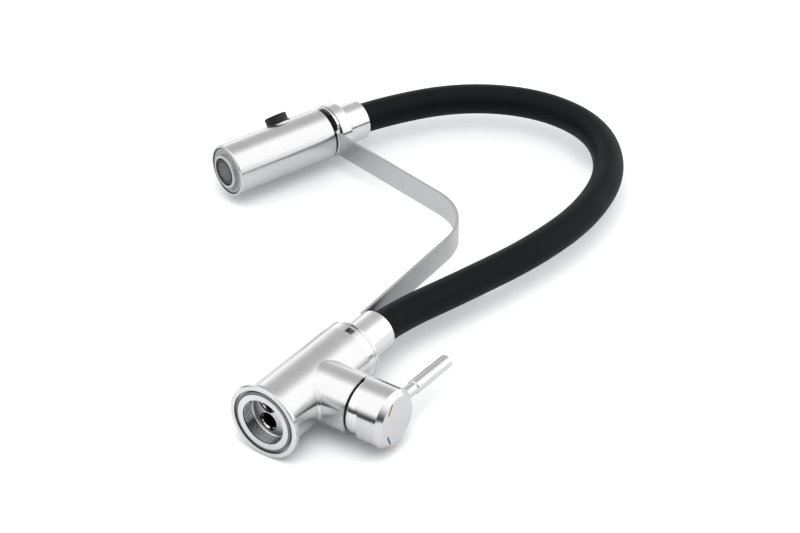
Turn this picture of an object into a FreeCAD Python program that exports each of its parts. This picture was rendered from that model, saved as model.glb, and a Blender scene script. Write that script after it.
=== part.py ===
"""Kitchen mixer tap with a hose spout, a strip arm and a docked spray head.

Millimetres. +Z is up along the body. The origin is the centre of the base flange's underside.
+X is the cartridge side. At rest the spray head hangs over the sink on the -X side.
"""
import FreeCAD, Part
import math
import os

from FreeCAD import Vector

# Driving sizes: clearances
RUN = 0.05            # running fit, on the radius
SLIP = 0.10           # slip fit of pieces that are put together once
FREE = 0.30           # free gap between pieces that move past each other

# Base and body
flange_reach = 4.15    # beyond the body
flange_t = 3.6
flange_edge = 0.5
body_r = 22.15
body_bore_r = 17.3
body_top = 85.5
mount_thread_r = 16.0
mount_thread_depth = 10.0
thread_pitch = 1.25
thread_height = 0.6
seal_groove_r = 21.55  # middle of the groove
seal_groove_w = 3.1
seal_groove_depth = 2.3
base_seal_section_r = 0.75
foot_fillet = 1.0
rim_edge = 0.3         # small chamfer on turned rims

# Cartridge branch, along +X
branch_z = 50.2
branch_r = 20.25
branch_end = 40.4
branch_fillet = 2.0
cartridge_r = 17.5
seat_x = 19.0

# Water block and its ports
block_top = 72.0
port_x = -3.6
port_y = 6.3           # of the ways to the cartridge
inlet_y = 7.0          # of the inlet ports in the base
port_thread_r = 5.0
port_depth = 12.5
port_mouth_r = 6.7
port_mouth_depth = 2.2
valve_r = 4.0
valve_length = 9.0
way_r = 3.0
outlet_rise = 6.5      # the outlet above the cartridge axis
inlet_drop = 3.5       # the inlets below it

# Cartridge stack, along X from the seat
gasket_t = 1.2
fixed_disc_r = 15.6
fixed_disc_t = 3.5
moving_disc_r = 12.6
moving_disc_t = 3.0
disc_film = 0.05
carrier_t = 5.0
casing_wall = 1.5
casing_length = 18.0
casing_lip_t = 1.6
rotor_flange_t = 4.0
rotor_neck_r = 10.5
nut_t = 3.1
nut_nose_r = 14.05
nut_nose_t = 2.6

# Handle
pivot_x = 42.0
lift_deg = 20.0
handle_clock_deg = -2.0   # the lever's turn about the cartridge axis, as photographed
dome_wall = 1.3
dome_end = 9.5            # beyond the pivot
dome_web_t = 2.0
cap_r = 20.3
cap_wall = 2.1            # down to the dome
cap_face_x = 68.3
cap_chamfer = 3.5
cap_floor_x = 58.0
cap_rear_x = 40.8
cap_slant_deg = 22.7      # the rear edge's slope
cap_slant_rise = 4.0      # where the slope starts, above the axis
boss_r = 8.0
boss_reach = 6.0          # the boss ends this far in front of the pivot
stem_half_y = 4.0
stem_half_z = 3.6
stem_front = 14.0
foot_reach = 11.5         # from the pivot back to the stem's foot
foot_r = 2.4
shank_half_z = 2.0
pin_r = 1.5

# Lever pin, radial to the cap
lever_x = 55.6
lever_thread_r = 3.0
lever_neck_r = 4.1
lever_grip_r = 4.75
lever_step = 36.0         # from the cartridge axis
lever_end = 76.0
lever_dome = 2.2
lever_edge = 0.6

# Hot and cold marks
mark_length = 8.2
mark_width = 1.6
mark_depth = 0.6
mark_from_edge = 6.6
mark_angle_deg = 34.0
mark_slope_deg = 27.0
mark_turn_deg = -3.0      # the pair's turn about the cartridge axis

# Swivel on top of the body
ring_r = 21.75
ring_gap = 0.25
ring_top = 95.5
ring_web_t = 5.5
ring_wall = 3.2
ring_skirt_gap = 2.05     # between the skirt and the ferrule's foot
plug_length = 12.5
seal_rise = 1.5           # of the lower seal over the ferrule's foot
seal_pitch = 5.0
spigot_r = 9.55
spigot_bore_r = 5.0
spigot_top = 105.0
bush_t = 1.9
bush_overhang = 0.4    # beyond the ferrule's foot
clip_t = 1.2
clip_r = 10.8
clip_opening = 4.0
seal_section_r = 1.1
window_from_deg = -87.0
window_to_deg = -72.0
window_height = 5.3
slit_t = 1.1
slit_drop = 2.4           # its foot's distance from the ring's top
slit_depth = 2.0
joint_line_w = 0.3        # fine turned line under the slit
joint_line_depth = 0.35
side_slit_deg = -21.0
side_slit_w = 0.9
side_slit_depth = 0.8
side_slit_height = 4.7

# Hose ferrules, sleeve and what is inside it
ferrule_r = 14.75
ferrule_top = 123.65
ferrule_foot_t = 2.6
ferrule_edge = 0.5
clip_shelf = 101.0
hose_r = 11.1
hose_bore_r = 8.3
spring_r = 8.0
spring_wall = 1.1
water_hose_r = 6.2
water_hose_bore_r = 4.3
tail_z = 106.0
tail_t = 3.0
barb_r = 4.2
barb_bore_r = 2.8
barb_length = 13.0

# Spray head: its axis leans back towards the body
head_tilt_deg = 17.2
head_x = -204.6
head_z = 223.1
head_r = 19.2
head_length = 84.5
head_wall = 1.6
head_edge = 0.4
plate_r = 17.0
plate_t = 4.0
plate_inset = 0.6
jet_count = 26
jet_r = 0.55
jet_circle_r = 14.4
aerator_r = 12.6
aerator_wall = 2.1
aerator_proud = 2.4
aerator_depth = 8.0
mesh_t = 1.2
mesh_inset = 0.5
slat_count = 10
slat_gap_share = 0.5
slat_turn_deg = 24.0
guide_disc_t = 2.5
guide_tube_r = 11.0
guide_block_half = 14.0    # before and behind the knob's axis
guide_block_r = 14.0
guide_neck_r = 8.5
rear_cap_t = 6.0
rear_inset = 0.3
neck_r = 11.5
neck_length = 6.6

# Dock plate, collar and upper ferrule, along the head's axis
dock_gap = 4.5            # from the head's rear
dock_t = 2.0
dock_r = 19.1
collar_gap = 0.35
collar_r = 19.4
collar_length = 9.0
collar_edge = 1.2
upper_ferrule_length = 18.85
nipple_shank_r = 7.4
nipple_tip_r = 6.4
nipple_reach = 9.4        # into the head
nipple_flange_lift = 3.4  # above the collar

# Diverter knob on the head's side
knob_from_face = 54.3
knob_angle_deg = -40.0    # from -Y, positive towards the body
knob_boss_r = 9.5
knob_seat = 17.9          # the boss's top, from the head's axis
knob_top = 24.8
knob_r = 8.35
knob_skirt_r = 9.2
knob_skirt_t = 1.7
knob_socket_depth = 4.0
knob_flutes = 24
flute_r = 0.75
spindle_r = 4.0
spindle_foot = 3.0        # its inner end's distance from the head's axis
spindle_section_r = 0.6   # of its seal

# Arm strip
strip_w = 18.0
strip_t = 2.0
strip_foot_w = 11.0
strip_foot_x = -12.4
strip_foot_depth = 18.0
strip_lean_x = -18.9      # where the two legs would cross
strip_lean_z = 267.8
strip_bend_r = 49.0
strip_start_rise = 5.0
fold_reach = 15.8         # the fold's distance from the head's axis
fold_drop = 3.8
fold_r = 1.7
fold_run_in = 3.0         # of the folded end towards the head

# Hose route between the ferrules: points of the spout plane, chosen by hand
hose_lower = [(18.1, 75.9), (34.0, 138.7), (38.4, 201.4)]      # from the lower ferrule's mouth
hose_upper = [(192.3, 47.5), (151.4, 89.9), (94.8, 96.6), (41.0, 68.7)]  # from the upper one's
hose_rise = 14.0
hose_lead = 12.5
hose_bend_share = 0.45    # of the shorter run beside each bend

# Places that follow from the sizes above
flange_r = body_r + flange_reach
ring_skirt_r = ring_r - ring_wall
ferrule_foot_r = ring_skirt_r - ring_skirt_gap
dome_r = cap_r - cap_wall
mark_circle_r = cap_r - mark_from_edge
guide_block_from = knob_from_face - guide_block_half
guide_block_to = knob_from_face + guide_block_half
neck_top = head_length + neck_length
dock_from = head_length + dock_gap
collar_from = dock_from + dock_t + collar_gap
collar_top = collar_from + collar_length
upper_ferrule_top = collar_top + upper_ferrule_length
nipple_tip = head_length - nipple_reach
nipple_flange_from = collar_top + nipple_flange_lift


# Shape helpers
X_AXIS = Vector(1, 0, 0)
Y_AXIS = Vector(0, 1, 0)
Z_AXIS = Vector(0, 0, 1)


def rod(radius, low, high, x=0.0, y=0.0):
    """Upright cylinder from low to high."""
    return Part.makeCylinder(radius, high - low, Vector(x, y, low))


def pipe(outer, inner, low, high):
    """Upright tube."""
    return rod(outer, low, high).cut(rod(inner, low - 1, high + 1))


def rod_x(radius, start, end, y=0.0, z=branch_z):
    """Cylinder along X, on the cartridge axis unless told otherwise."""
    return Part.makeCylinder(radius, end - start, Vector(start, y, z), X_AXIS)


def pipe_x(outer, inner, start, end):
    return rod_x(outer, start, end).cut(rod_x(inner, start - 1, end + 1))


def block(x0, x1, y0, y1, z0, z1):
    return Part.makeBox(x1 - x0, y1 - y0, z1 - z0, Vector(x0, y0, z0))


def turned(profile):
    """Solid turned about Z from (radius, height) points."""
    face = Part.Face(Part.makePolygon([Vector(r, 0, z) for r, z in profile + profile[:1]]))
    return face.revolve(Vector(0, 0, 0), Z_AXIS, 360)


def ring_seal(radius, section, z):
    return Part.makeTorus(radius, section, Vector(0, 0, z), Z_AXIS)


def prism_y(points, half_width):
    """Outline in the XZ plane, as thick as twice half_width along Y."""
    face = Part.Face(Part.makePolygon([Vector(x, -half_width, z) for x, z in points + points[:1]]))
    return face.extrude(Vector(0, 2 * half_width, 0))


def edges_on(shape, test):
    return [edge for edge in shape.Edges if test(edge)]


def round_edges_at(shape, x=None, z=None, radius=None, tolerance=1e-3):
    """The circular edges of one radius that lie in one plane."""
    def fits(edge):
        curve = edge.Curve
        if not isinstance(curve, Part.Circle):
            return False
        if radius is not None and abs(curve.Radius - radius) > tolerance:
            return False
        if x is not None and abs(curve.Center.x - x) > tolerance:
            return False
        return z is None or abs(curve.Center.z - z) < tolerance
    return edges_on(shape, fits)


def clocked(shape):
    """Turn a piece of the handle about the cartridge axis to the photographed pose."""
    turned_shape = shape.copy()
    turned_shape.rotate(Vector(0, 0, branch_z), X_AXIS, handle_clock_deg)
    return turned_shape


def on_head(shape):
    """Place a piece that was built along Z, from the spray face up, on the leaning head."""
    placed = shape.copy()
    placed.rotate(Vector(0, 0, 0), Y_AXIS, head_tilt_deg)
    placed.translate(Vector(head_x, 0, head_z))
    return placed


def head_point(toward_body, along):
    """XZ coordinates of a point of the head's own frame."""
    tilt = math.radians(head_tilt_deg)
    return (head_x + toward_body * math.cos(tilt) + along * math.sin(tilt),
            head_z - toward_body * math.sin(tilt) + along * math.cos(tilt))


# Paths with arcs
def bends(points, radii=None, share=None):
    """For each inner point: the tangent points, the arc's middle and its centre and radius."""
    result = []
    for i in range(1, len(points) - 1):
        before, corner, after = (Vector(p[0], 0, p[1]) for p in points[i - 1:i + 2])
        back, ahead = before - corner, after - corner
        run_back, run_ahead = back.Length, ahead.Length
        back.normalize()
        ahead.normalize()
        half_turn = (math.pi - back.getAngle(ahead)) / 2
        reach = share * min(run_back, run_ahead) if share else radii[i - 1] * math.tan(half_turn)
        radius = reach / math.tan(half_turn)
        toward = back + ahead
        toward.normalize()
        centre = corner + toward * (radius / math.cos(half_turn))
        result.append((corner + back * reach, centre - toward * radius, corner + ahead * reach,
                       centre, radius))
    return result


def path_wire(points, share):
    """Straight runs joined by tangent arcs."""
    edges = []
    here = Vector(points[0][0], 0, points[0][1])
    for start, middle, end, _, _ in bends(points, share=share):
        edges.append(Part.LineSegment(here, start).toShape())
        edges.append(Part.Arc(start, middle, end).toShape())
        here = end
    edges.append(Part.LineSegment(here, Vector(points[-1][0], 0, points[-1][1])).toShape())
    return Part.Wire(edges)


def strip_outline(points, radii, thickness):
    """Closed face in the XZ plane: a strip of even thickness along a path with arcs."""
    def side(offset):
        edges = []
        first, second = (Vector(p[0], 0, p[1]) for p in points[:2])
        here = first + square_to(second - first) * offset
        for start, middle, end, centre, radius in bends(points, radii=radii):
            turns_left = (start - centre).cross(end - centre).y < 0
            new_radius = radius - offset if turns_left else radius + offset
            moved = [centre + (p - centre) * (new_radius / radius) for p in (start, middle, end)]
            edges.append(Part.LineSegment(here, moved[0]).toShape())
            edges.append(Part.Arc(*moved).toShape())
            here = moved[2]
        last, final = (Vector(p[0], 0, p[1]) for p in points[-2:])
        edges.append(Part.LineSegment(here, final + square_to(final - last) * offset).toShape())
        return edges

    def square_to(direction):
        left = Y_AXIS.cross(direction) * -1
        left.normalize()
        return left

    left, right = side(thickness / 2), side(-thickness / 2)
    ends = [Part.LineSegment(left[0].Vertexes[0].Point, right[0].Vertexes[0].Point).toShape(),
            Part.LineSegment(left[-1].Vertexes[-1].Point, right[-1].Vertexes[-1].Point).toShape()]
    return Part.Face(Part.Wire(Part.__sortEdges__(left + right + ends)))


def hose_points():
    """Route of the hose's middle line, from the lower tail to the upper nipple."""
    mouth_x, mouth_z = head_point(0, upper_ferrule_top)
    route = [(0, tail_z + tail_t), (0, ferrule_top + hose_rise)]
    route += [(dx, ferrule_top + dz) for dx, dz in hose_lower]
    route += [(mouth_x + dx, mouth_z + dz) for dx, dz in hose_upper]
    route += [head_point(0, upper_ferrule_top + hose_lead),
              head_point(0, nipple_flange_from + tail_t)]
    return route


def hose_tube(outer, inner):
    wire = path_wire(hose_points(), hose_bend_share)
    start = Vector(0, 0, tail_z + tail_t)
    solids = []
    for radius in (outer, inner):
        circle = Part.Wire(Part.Circle(start, Z_AXIS, radius).toShape())
        solids.append(wire.makePipeShell([circle], True, False))
    return solids[0].cut(solids[1])


# Body
def body_shell():
    """Base flange, tube and cartridge branch, with the mounting thread in the foot."""
    outside = rod(flange_r, 0, flange_t).fuse(rod(body_r, 0, body_top))
    fillet = min(foot_fillet, 0.8 * (flange_reach - flange_edge))
    outside = outside.makeFillet(fillet, round_edges_at(outside, z=flange_t, radius=body_r))
    outside = outside.makeChamfer(flange_edge, round_edges_at(outside, radius=flange_r))
    outside = outside.fuse(rod_x(branch_r, 0, branch_end)).removeSplitter()
    joint = edges_on(outside, lambda e: isinstance(e.Curve, Part.BSplineCurve))
    outside = outside.makeFillet(branch_fillet, joint)

    groove = pipe(seal_groove_r + seal_groove_w / 2, seal_groove_r - seal_groove_w / 2,
                  -1, seal_groove_depth)
    threads = int(mount_thread_depth / thread_pitch - 0.5)
    shell = outside.cut(rod(body_bore_r, mount_thread_depth, body_top + 1))
    shell = shell.cut(rod(mount_thread_r, -1, mount_thread_depth + 1)).cut(groove)
    for i in range(threads):
        z = (i + 0.5) * thread_pitch
        shell = shell.cut(turned([(mount_thread_r - 1, z), (mount_thread_r, z),
                                  (mount_thread_r + thread_height, z + thread_pitch / 2),
                                  (mount_thread_r, z + thread_pitch * 0.95),
                                  (mount_thread_r - 1, z + thread_pitch * 0.95)]))
    shell = shell.cut(rod_x(cartridge_r + SLIP, seat_x, branch_end + 1))
    for y, z in port_places():
        shell = shell.cut(rod_x(way_r, 0, seat_x + 1, y, z))
    return shell


def port_places():
    """Where the two inlets and the outlet meet the cartridge, as (y, z)."""
    return [(-port_y, branch_z - inlet_drop), (port_y, branch_z - inlet_drop),
            (0, branch_z + outlet_rise)]


def base_seal():
    """Narrow ring on the groove's inner wall."""
    seat = seal_groove_r - seal_groove_w / 2 + RUN
    return ring_seal(seat + base_seal_section_r, base_seal_section_r, base_seal_section_r + RUN)


def water_block():
    """Brass core: two inlets from below, turned to the cartridge, and the outlet to the top."""
    core = rod(body_bore_r - SLIP, mount_thread_depth, block_top)
    valve_floor = mount_thread_depth + port_depth
    for y, z in port_places()[:2]:
        side = math.copysign(inlet_y, y)
        core = core.cut(port_mouth(side))
        core = core.cut(rod(port_thread_r, 0, valve_floor, port_x, side))
        core = core.cut(rod(valve_r + RUN, 0, valve_floor + valve_length, port_x, side))
        core = core.cut(rod(way_r, 0, z + way_r, port_x, side))
        core = core.cut(rod_x(way_r, port_x, body_r, y, z))
    y, z = port_places()[2]
    core = core.cut(rod_x(way_r, port_x, body_r, y, z))
    return core.cut(rod(spigot_bore_r, z - way_r, block_top + 1, port_x))


def port_mouth(y):
    """Countersink of one inlet port."""
    mouth = turned([(0, mount_thread_depth - 1), (port_mouth_r, mount_thread_depth - 1),
                    (port_mouth_r, mount_thread_depth),
                    (port_thread_r, mount_thread_depth + port_mouth_depth),
                    (0, mount_thread_depth + port_mouth_depth)])
    mouth.translate(Vector(port_x, y, 0))
    return mouth


def check_valve(side):
    """Non-return valve in one inlet: a seat with three windows and a guide on top."""
    low = mount_thread_depth + port_depth
    valve = pipe(valve_r, valve_r - 1.2, low, low + valve_length)
    valve = valve.fuse(rod(valve_r - 0.6, low + 2.0, low + 3.4))
    valve = valve.cut(pipe(valve_r - 1.5, 1.0, low, low + 2.6))
    valve.translate(Vector(port_x, side * inlet_y, 0))
    return valve


# Cartridge
fixed_disc_x = seat_x + gasket_t
moving_disc_x = fixed_disc_x + fixed_disc_t + disc_film
carrier_x = moving_disc_x + moving_disc_t
casing_end = seat_x + casing_length
rotor_x = carrier_x + carrier_t + FREE
disc_travel = foot_reach * math.sin(math.radians(lift_deg))
casing_bore_r = cartridge_r - casing_wall
lip_bore_r = rotor_neck_r + FREE


def cartridge_gasket():
    gasket = rod_x(fixed_disc_r - 0.4, seat_x, fixed_disc_x)
    for y, z in port_places():
        gasket = gasket.cut(rod_x(way_r, seat_x - 1, fixed_disc_x + 1, y, z))
    return gasket


def fixed_disc():
    disc = rod_x(fixed_disc_r, fixed_disc_x, fixed_disc_x + fixed_disc_t)
    for y, z in port_places():
        disc = disc.cut(rod_x(way_r - 0.4, seat_x, moving_disc_x + 1, y, z))
    return disc


def moving_disc():
    """Starts half its travel below the axis and has a blind pocket that joins the ports."""
    z = branch_z - disc_travel / 2
    disc = rod_x(moving_disc_r, moving_disc_x, moving_disc_x + moving_disc_t, 0, z)
    pocket = rod_x(moving_disc_r * 0.55, moving_disc_x - 1, moving_disc_x + moving_disc_t / 2, 0, z)
    return clocked(disc.cut(pocket))


def disc_carrier():
    """Drives the moving disc. The stem's foot stands in its slot."""
    z = branch_z - disc_travel / 2
    carrier = rod_x(moving_disc_r, carrier_x, carrier_x + carrier_t, 0, z)
    slot = block(carrier_x + 0.8, rotor_x, -stem_half_y - SLIP, stem_half_y + SLIP,
                 branch_z - foot_r - SLIP, branch_z + foot_r + SLIP)
    return clocked(carrier.cut(slot))


def cartridge_casing():
    casing = pipe_x(cartridge_r, casing_bore_r, seat_x, casing_end)
    lip = pipe_x(cartridge_r, lip_bore_r, casing_end - casing_lip_t, casing_end)
    return casing.fuse(lip).removeSplitter()


def rotor():
    """Turns with the lever. Its slot lets the stem tip, and the pivot pin crosses its neck."""
    flange_end = casing_end - casing_lip_t - SLIP
    neck_end = pivot_x + pin_r + 1.0
    piece = rod_x(casing_bore_r - FREE, rotor_x, flange_end)
    piece = piece.fuse(rod_x(rotor_neck_r, rotor_x, neck_end)).removeSplitter()
    rise = disc_travel + foot_r + FREE
    slot = block(rotor_x - 1, neck_end + 1, -stem_half_y - SLIP, stem_half_y + SLIP,
                 branch_z - stem_half_z - 1.6, branch_z + rise)
    piece = piece.cut(slot)
    return clocked(piece.cut(pivot_hole(pin_r)))


def pivot_hole(radius):
    return Part.makeCylinder(radius, 4 * rotor_neck_r, Vector(pivot_x, -2 * rotor_neck_r, branch_z),
                             Y_AXIS)


def pivot_pin():
    half = rotor_neck_r - 0.4
    return clocked(Part.makeCylinder(pin_r, 2 * half, Vector(pivot_x, -half, branch_z), Y_AXIS))


def lever_stem():
    """Square stem with a round foot, tipping on the pivot pin."""
    foot_x = pivot_x - foot_reach
    foot = Part.makeCylinder(foot_r, 2 * stem_half_y, Vector(foot_x, -stem_half_y, branch_z), Y_AXIS)
    shank = block(foot_x, pivot_x, -stem_half_y, stem_half_y,
                  branch_z - shank_half_z, branch_z + shank_half_z)
    head = block(pivot_x - stem_half_z, pivot_x + stem_front, -stem_half_y, stem_half_y,
                 branch_z - stem_half_z, branch_z + stem_half_z)
    return clocked(shank.fuse(foot).fuse(head).cut(pivot_hole(pin_r + RUN)))


def cartridge_nut():
    start = casing_end + SLIP
    nut = rod_x(cartridge_r + RUN, start, start + nut_t)
    nut = nut.fuse(rod_x(nut_nose_r, start, start + nut_t + nut_nose_t)).removeSplitter()
    return nut.cut(rod_x(lip_bore_r, start - 1, start + nut_t + nut_nose_t + 1))


def dome_sleeve():
    """Polished ball zone about the pivot, on a web that slips over the nut's nose."""
    centre = Vector(pivot_x, 0, branch_z)
    zone = rod_x(cap_r, branch_end, pivot_x + dome_end)
    shell = Part.makeSphere(dome_r, centre).cut(Part.makeSphere(dome_r - dome_wall, centre))
    shell = shell.common(zone)
    web = rod_x(dome_r, branch_end, branch_end + dome_web_t)
    web = web.common(Part.makeSphere(dome_r, centre))
    shell = shell.fuse(web).removeSplitter()
    return shell.cut(rod_x(nut_nose_r + RUN, branch_end - 1, branch_end + dome_web_t + 1))


# Handle
def handle_cap():
    """Cap with a slanted rear edge, a chamfered face and the boss that holds the stem."""
    cap = rod_x(cap_r, cap_rear_x, cap_face_x)
    cap = cap.makeChamfer(cap_chamfer, round_edges_at(cap, x=cap_face_x, radius=cap_r))
    cavity = rod_x(dome_r + FREE, cap_rear_x - 1, cap_floor_x)
    cavity = cavity.cut(rod_x(boss_r, pivot_x + boss_reach, cap_floor_x))
    run = 2 * cap_r * math.tan(math.radians(cap_slant_deg))
    slant = prism_y([(cap_rear_x, branch_z + cap_slant_rise),
                     (cap_rear_x + run, branch_z + cap_slant_rise - 2 * cap_r),
                     (cap_rear_x - 1, branch_z + cap_slant_rise - 2 * cap_r),
                     (cap_rear_x - 1, branch_z + cap_slant_rise)], cap_r + 1)
    socket = block(pivot_x, pivot_x + stem_front + SLIP, -stem_half_y - RUN, stem_half_y + RUN,
                   branch_z - stem_half_z - RUN, branch_z + stem_half_z + RUN)
    cap = cap.cut(cavity).cut(slant).cut(socket)
    cap = cap.cut(rod(lever_thread_r + RUN, branch_z, branch_z + cap_r + 1, lever_x))
    cap = cap.cut(rod(lever_neck_r + SLIP, branch_z + lever_seat(), branch_z + cap_r + 1, lever_x))
    for side in (-1, 1):
        cap = cap.cut(mark_bar(side))
    return clocked(cap)


def lever_seat():
    """Height over the axis where the lever's neck stands on the cap's wall."""
    return math.sqrt(cap_r ** 2 - (lever_neck_r + SLIP) ** 2) - 0.3


def lever_pin():
    """Threaded tail down to the stem, a neck, and a thicker grip with a domed tip."""
    tail = stem_half_z + RUN
    step, end = lever_step, lever_end
    body = turned([(0, tail), (lever_thread_r, tail), (lever_thread_r, lever_seat()),
                   (lever_neck_r, lever_seat()), (lever_neck_r, step), (lever_grip_r - lever_edge, step),
                   (lever_grip_r, step + lever_edge), (lever_grip_r, end - lever_dome),
                   (0, end - lever_dome)])
    ball_r = (lever_grip_r ** 2 + lever_dome ** 2) / (2 * lever_dome)
    dome = Part.makeSphere(ball_r, Vector(0, 0, end - ball_r))
    dome = dome.common(rod(lever_grip_r, end - lever_dome, end))
    pin = body.fuse(dome)
    pin.translate(Vector(lever_x, 0, branch_z))
    return clocked(pin)


def mark_bar(side):
    """One slim bar with round ends let into the cap's face, low on the hot or the cold side."""
    low, high = cap_face_x - mark_depth, cap_face_x
    half = (mark_length - mark_width) / 2
    bar = block(low, high, -half, half, -mark_width / 2, mark_width / 2)
    for end in (-half, half):
        bar = bar.fuse(rod_x(mark_width / 2, low, high, end, 0))
    bar = bar.removeSplitter()
    bar.rotate(Vector(0, 0, 0), X_AXIS, side * mark_slope_deg)
    angle = math.radians(mark_angle_deg)
    bar.translate(Vector(0, side * mark_circle_r * math.cos(angle),
                         branch_z - mark_circle_r * math.sin(angle)))
    bar.rotate(Vector(0, 0, branch_z), X_AXIS, mark_turn_deg)
    return bar


# Swivel and lower ferrule
def top_plug():
    """Plug in the body's top with the spigot that carries the spout."""
    plug = rod(body_bore_r - SLIP, block_top, block_top + plug_length)
    plug = plug.fuse(rod(spigot_r, block_top, spigot_top)).removeSplitter()
    plug = plug.cut(rod(spigot_bore_r, block_top - 1, spigot_top + 1))
    for z in seal_heights():
        plug = plug.cut(pipe(spigot_r + 1, spigot_r - 2 * seal_section_r,
                             z - seal_section_r - RUN, z + seal_section_r + RUN))
    return plug.cut(pipe(spigot_r + 1, clip_groove_r(), clip_shelf, clip_shelf + clip_t + SLIP))


def seal_heights():
    foot = ring_top - ring_web_t
    return [foot + seal_rise, foot + seal_rise + seal_pitch]


def clip_groove_r():
    return spigot_r - 1.0


def swivel_seal(z):
    return ring_seal(spigot_r + SLIP - RUN - seal_section_r, seal_section_r, z)


def retaining_clip():
    """Open spring ring in the spigot's groove, over the ferrule's inner shelf."""
    clip = pipe(clip_r, clip_groove_r() + RUN, clip_shelf + RUN, clip_shelf + clip_t)
    return clip.cut(block(0, clip_r + 1, -clip_opening / 2, clip_opening / 2,
                          clip_shelf - 1, clip_shelf + clip_t + 1))


def swivel_bush():
    """Plastic slide washer between the plug and the ferrule's foot."""
    low = block_top + plug_length
    return pipe(ferrule_foot_r + bush_overhang, spigot_r + RUN, low, low + bush_t)


def swivel_ring():
    """Ring on top of the body, with a window, a slit over it and a fine upright slit."""
    low = body_top + ring_gap
    ring = rod(ring_r, low, ring_top)
    ring = ring.makeChamfer(rim_edge, round_edges_at(ring, radius=ring_r))
    ring = ring.cut(rod(ring_skirt_r, low - 1, ring_top - ring_web_t))
    ring = ring.cut(rod(ferrule_r + RUN, low - 1, ring_top + 1))
    middle = (window_from_deg + window_to_deg) / 2
    width = math.radians(window_to_deg - window_from_deg) * ring_r
    window = block(ring_skirt_r - 1, ring_r + 1, -width / 2, width / 2,
                   low - 1, low + window_height)
    slit_foot = ring_top - slit_drop
    slit = block(ring_r - slit_depth, ring_r + 1, -width / 2, width / 2, slit_foot, slit_foot + slit_t)
    side_slit = block(ring_r - side_slit_depth, ring_r + 1, -side_slit_w / 2, side_slit_w / 2,
                      low - 1, low + side_slit_height)
    ring = ring.cut(pipe(ring_r + 1, ring_r - joint_line_depth, slit_foot - joint_line_w, slit_foot))
    for cutter, angle in ((window, middle), (slit, middle), (side_slit, side_slit_deg)):
        cutter.rotate(Vector(0, 0, 0), Z_AXIS, angle)
        ring = ring.cut(cutter)
    return ring


def lower_ferrule():
    """Turns on the spigot, hangs under the ring's web by its foot, and grips the hose."""
    foot_top = ring_top - ring_web_t
    foot_low = foot_top - ferrule_foot_t
    ferrule = rod(ferrule_r, foot_low, ferrule_top)
    ferrule = ferrule.makeChamfer(ferrule_edge, round_edges_at(ferrule, z=ferrule_top))
    ferrule = ferrule.fuse(rod(ferrule_foot_r, foot_low, foot_top)).removeSplitter()
    ferrule = ferrule.cut(rod(spigot_r + SLIP, foot_low - 1, clip_shelf + 1))
    ferrule = ferrule.cut(rod(hose_r + FREE, clip_shelf, ferrule_top + 1))
    slot = block(strip_foot_x - strip_t / 2 - RUN, 0, -strip_foot_w / 2 - RUN, strip_foot_w / 2 + RUN,
                 ferrule_top - strip_foot_depth, ferrule_top + 1)
    return ferrule.cut(slot)


def hose_tail():
    """Seat of the hose in the lower ferrule, with the barb of the water hose."""
    tail = rod(hose_r + FREE - SLIP, tail_z, tail_z + tail_t)
    tail = tail.fuse(rod(barb_r, tail_z, tail_z + tail_t + barb_length))
    return tail.removeSplitter().cut(rod(barb_bore_r, tail_z - 1, tail_z + tail_t + barb_length + 1))


# Hose
def hose_sleeve():
    return hose_tube(hose_r, hose_bore_r)


def support_spring():
    """Close-wound support coil, as the tube that it fills."""
    return hose_tube(spring_r, spring_r - spring_wall)


def water_hose():
    return hose_tube(water_hose_r, water_hose_bore_r)


# Arm strip with its dock
def arm_strip():
    """Flat strip from the ferrule up and out to the head, folded into an open dock plate."""
    dock_level = dock_from + dock_t / 2
    foot_low = ferrule_top - strip_foot_depth + SLIP
    path = [(strip_foot_x, ferrule_top - 1), (strip_foot_x, ferrule_top + strip_start_rise),
            (strip_lean_x, strip_lean_z), head_point(fold_reach, dock_level - fold_drop),
            head_point(fold_reach, dock_level), head_point(fold_reach - fold_run_in, dock_level)]
    face = strip_outline(path, [40.0, strip_bend_r, fold_r, fold_r], strip_t)
    strip = face.extrude(Vector(0, strip_w, 0))
    strip.translate(Vector(0, -strip_w / 2, 0))
    foot = block(strip_foot_x - strip_t / 2, strip_foot_x + strip_t / 2,
                 -strip_foot_w / 2, strip_foot_w / 2, foot_low, ferrule_top + 1)
    above = block(-400, 100, -strip_w, strip_w, ferrule_top + RUN, 500)
    return strip.common(above).fuse(foot).fuse(dock_plate()).removeSplitter()


def dock_plate():
    """Open ring plate around the head's neck, cut off straight where the strip folds down."""
    plate = rod(dock_r, dock_from, dock_from + dock_t)
    mouth = neck_r + FREE + SLIP
    plate = plate.cut(rod(mouth, dock_from - 1, dock_from + dock_t + 1))
    plate = plate.cut(block(fold_reach - fold_r, 2 * dock_r, -dock_r, dock_r, dock_from - 1,
                            dock_from + dock_t + 1))
    plate = plate.cut(block(-2 * dock_r, 0, -mouth, mouth, dock_from - 1, dock_from + dock_t + 1))
    return on_head(plate)


# Upper end of the hose
def hose_collar():
    collar = rod(collar_r, collar_from, collar_top)
    collar = collar.makeFillet(collar_edge, round_edges_at(collar, z=collar_top))
    return on_head(collar.cut(rod(nipple_shank_r + RUN, collar_from - 1, collar_top + 1)))


def upper_ferrule():
    ferrule = rod(ferrule_r, collar_top, upper_ferrule_top)
    ferrule = ferrule.makeChamfer(ferrule_edge, round_edges_at(ferrule, z=upper_ferrule_top))
    ferrule = ferrule.cut(rod(nipple_shank_r + RUN, collar_top - 1, nipple_flange_from))
    return on_head(ferrule.cut(rod(hose_r + FREE, nipple_flange_from, upper_ferrule_top + 1)))


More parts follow.
